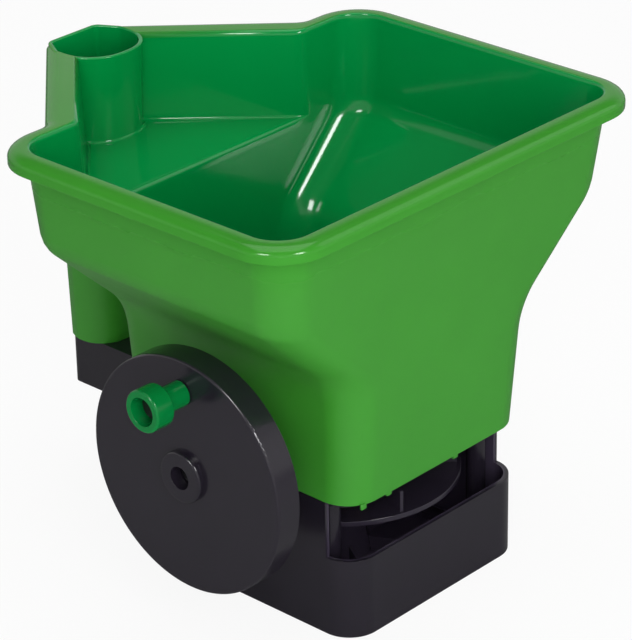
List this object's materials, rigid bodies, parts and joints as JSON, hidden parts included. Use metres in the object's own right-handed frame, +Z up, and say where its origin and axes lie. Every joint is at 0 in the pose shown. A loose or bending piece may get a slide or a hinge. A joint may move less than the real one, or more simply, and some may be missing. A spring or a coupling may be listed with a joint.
{
  "type": "hand_spreader",
  "caption": "Green hand spreader with a flared hopper, rear grip, black base, geared throwing disc and a side crank wheel with knob",
  "frame": {"origin": "on the ground in the middle plane, under the middle of the hopper, on the flat underside of the base", "axes": "+Z up, -Y the throwing side, +Y the grip, -X the crank side"},
  "size_m": [0.2409, 0.2456, 0.2135],
  "materials": {
    "green_plastic": "smooth glossy moulded green plastic",
    "black_plastic": "fine satin moulded black plastic",
    "grey_plastic": "plain moulded grey plastic",
    "bearing_brass": "turned bearing brass",
    "bright_steel": "bright zinc plated steel"
  },
  "bodies": {
    "frame": {"hopper": "green_plastic", "grip_column": "green_plastic", "base_tray": "black_plastic", "chassis": "black_plastic", "feed_plate": "black_plastic", "feed_chute": "grey_plastic", "outer_crank_bush": "bearing_brass", "inner_crank_bush": "bearing_brass", "lower_shaft_bush": "bearing_brass", "deck_shaft_bush": "bearing_brass", "upper_shaft_bush": "bearing_brass", "base_screws": "bright_steel", "feed_plate_screws": "bright_steel", "grip_screw": "bright_steel"},
    "crank": {"crank_wheel": "black_plastic", "crank_shaft": "bright_steel", "knob_pin": "bright_steel", "wheel_screw": "bright_steel", "wheel_washer": "bright_steel", "crown_gear": "bearing_brass", "gear_clip": "bright_steel"},
    "knob": {"crank_knob": "green_plastic"},
    "rotor": {"impeller": "black_plastic", "impeller_shaft": "bright_steel", "impeller_pinion": "bearing_brass", "agitator": "grey_plastic", "agitator_screw": "bright_steel"},
    "gate": {"flow_gate": "black_plastic"}
  },
  "joints": [
    {"name": "crank_turn", "type": "hinge", "parent": "frame", "child": "crank", "pos_m": [-0.0929, -0.045, 0.0809], "axis": [-1, 0, 0], "continuous": true},
    {"name": "knob_spin", "type": "hinge", "parent": "crank", "child": "knob", "pos_m": [-0.112, -0.045, 0.1211], "axis": [-1, 0, 0], "continuous": true},
    {"name": "impeller_spin", "type": "hinge", "parent": "frame", "child": "rotor", "pos_m": [0, -0.045, 0.05], "axis": [0, 0, 1], "continuous": true},
    {"name": "gate_slide", "type": "slide", "parent": "frame", "child": "gate", "axis": [1, 0, 0], "range_m": [0, 0.023]}
  ],
  "couplings": [
    {"joint": "impeller_spin", "follows": "crank_turn", "ratio": 4}
  ]
}
